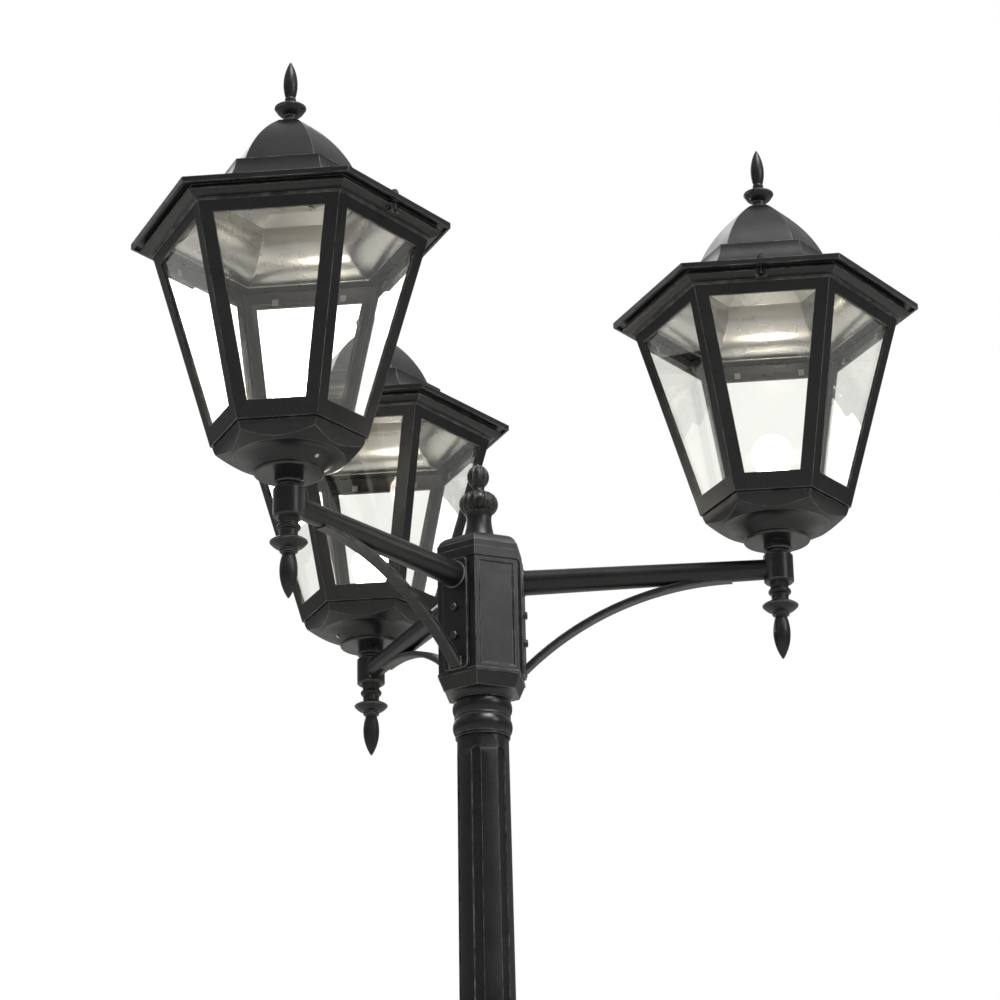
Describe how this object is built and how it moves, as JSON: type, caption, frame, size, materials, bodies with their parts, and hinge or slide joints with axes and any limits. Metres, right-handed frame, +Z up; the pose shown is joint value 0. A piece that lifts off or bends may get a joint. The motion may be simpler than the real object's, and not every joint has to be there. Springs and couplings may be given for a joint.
{
  "type": "triple head lamp post",
  "caption": "Fluted black lamp post with three arms, each carrying a hexagonal glazed lantern with a hinged hood, on a hexagonal pedestal with a door.",
  "frame": {"origin": "on the ground, on the mast's axis, at the centre of the anchor bolts", "axes": "+Z up the mast; +X along the arm at the picture's right; the picture is taken from -Y"},
  "size_m": [1.145, 1.1864, 3.2595],
  "materials": {
    "black_coat": "satin black powder coat with a fine grain",
    "black_steel": "black oxide, satin",
    "plated_steel": "dull zinc plate",
    "clear_glass": "clear, smooth",
    "brushed_reflector": "lightly brushed, semi-gloss",
    "mirror_plate": "polished aluminium",
    "frosted_glass": "frosted white lamp glass",
    "porcelain": "glazed white",
    "grey_plastic": "matt"
  },
  "bodies": {
    "post": {"arm_brace_1": "black_coat", "arm_brace_2": "black_coat", "arm_brace_3": "black_coat", "arm_plate_bolts": "black_steel", "arm_plates": "black_coat", "arm_sleeve_1": "black_coat", "arm_sleeve_2": "black_coat", "arm_sleeve_3": "black_coat", "arm_tube_1": "black_coat", "arm_tube_2": "black_coat", "arm_tube_3": "black_coat", "cage_1": "black_coat", "cage_2": "black_coat", "cage_3": "black_coat", "collar": "black_coat", "door_hinge_pins": "black_steel", "drop_finial_1": "black_coat", "drop_finial_2": "black_coat", "drop_finial_3": "black_coat", "hood_hinge_pins": "black_steel", "hub_body": "black_coat", "hub_cap": "black_coat", "hub_finial": "black_coat", "lamp_1": "frosted_glass", "lamp_2": "frosted_glass", "lamp_3": "frosted_glass", "lamp_holder_1": "porcelain", "lamp_holder_2": "porcelain", "lamp_holder_3": "porcelain", "mast": "black_coat", "neck_1": "black_coat", "neck_2": "black_coat", "neck_3": "black_coat", "pan_1": "black_coat", "pan_2": "black_coat", "pan_3": "black_coat", "pan_screws": "plated_steel", "pane_clips": "plated_steel", "panes_1": "clear_glass", "panes_2": "clear_glass", "panes_3": "clear_glass", "pedestal": "black_coat", "terminal_board": "grey_plastic"},
    "hood_1": {"hood_1": "black_coat", "hood_finial_1": "black_coat", "reflector_1": "brushed_reflector", "reflector_plate_1": "mirror_plate"},
    "latch_1": {"latch_screw_1": "black_steel"},
    "hood_2": {"hood_2": "black_coat", "hood_finial_2": "black_coat", "reflector_2": "brushed_reflector", "reflector_plate_2": "mirror_plate"},
    "latch_2": {"latch_screw_2": "black_steel"},
    "hood_3": {"hood_3": "black_coat", "hood_finial_3": "black_coat", "reflector_3": "brushed_reflector", "reflector_plate_3": "mirror_plate"},
    "latch_3": {"latch_screw_3": "black_steel"},
    "door": {"pedestal_door": "black_coat"},
    "door_lock": {"door_lock_screw": "black_steel"}
  },
  "joints": [
    {"name": "hood_hinge_1", "type": "hinge", "parent": "post", "child": "hood_1", "pos_m": [0.45, 0.21, 2.966], "axis": [-1, 0, 0], "range_deg": [0, 100]},
    {"name": "latch_turn_1", "type": "hinge", "parent": "hood_1", "child": "latch_1", "pos_m": [0.45, -0.193, 2.985], "axis": [0, 0, 1], "range_deg": [0, 360]},
    {"name": "hood_hinge_2", "type": "hinge", "parent": "post", "child": "hood_2", "pos_m": [-0.40686, 0.28471, 2.966], "axis": [0.5, -0.866, 0], "range_deg": [0, 100]},
    {"name": "latch_turn_2", "type": "hinge", "parent": "hood_2", "child": "latch_2", "pos_m": [-0.05786, 0.48621, 2.985], "axis": [0, 0, 1], "range_deg": [0, 360]},
    {"name": "hood_hinge_3", "type": "hinge", "parent": "post", "child": "hood_3", "pos_m": [-0.40686, -0.28471, 2.966], "axis": [-0.5, -0.866, 0], "range_deg": [0, 100]},
    {"name": "latch_turn_3", "type": "hinge", "parent": "hood_3", "child": "latch_3", "pos_m": [-0.05786, -0.48621, 2.985], "axis": [0, 0, 1], "range_deg": [0, 360]},
    {"name": "door_hinge", "type": "hinge", "parent": "post", "child": "door", "pos_m": [0.01462, -0.11857, 0.25], "axis": [0, 0, -1], "range_deg": [0, 110]},
    {"name": "door_lock_turn", "type": "hinge", "parent": "door", "child": "door_lock", "pos_m": [0.08298, -0.07449, 0.25], "axis": [0.5, -0.866, 0], "range_deg": [0, 90]}
  ]
}
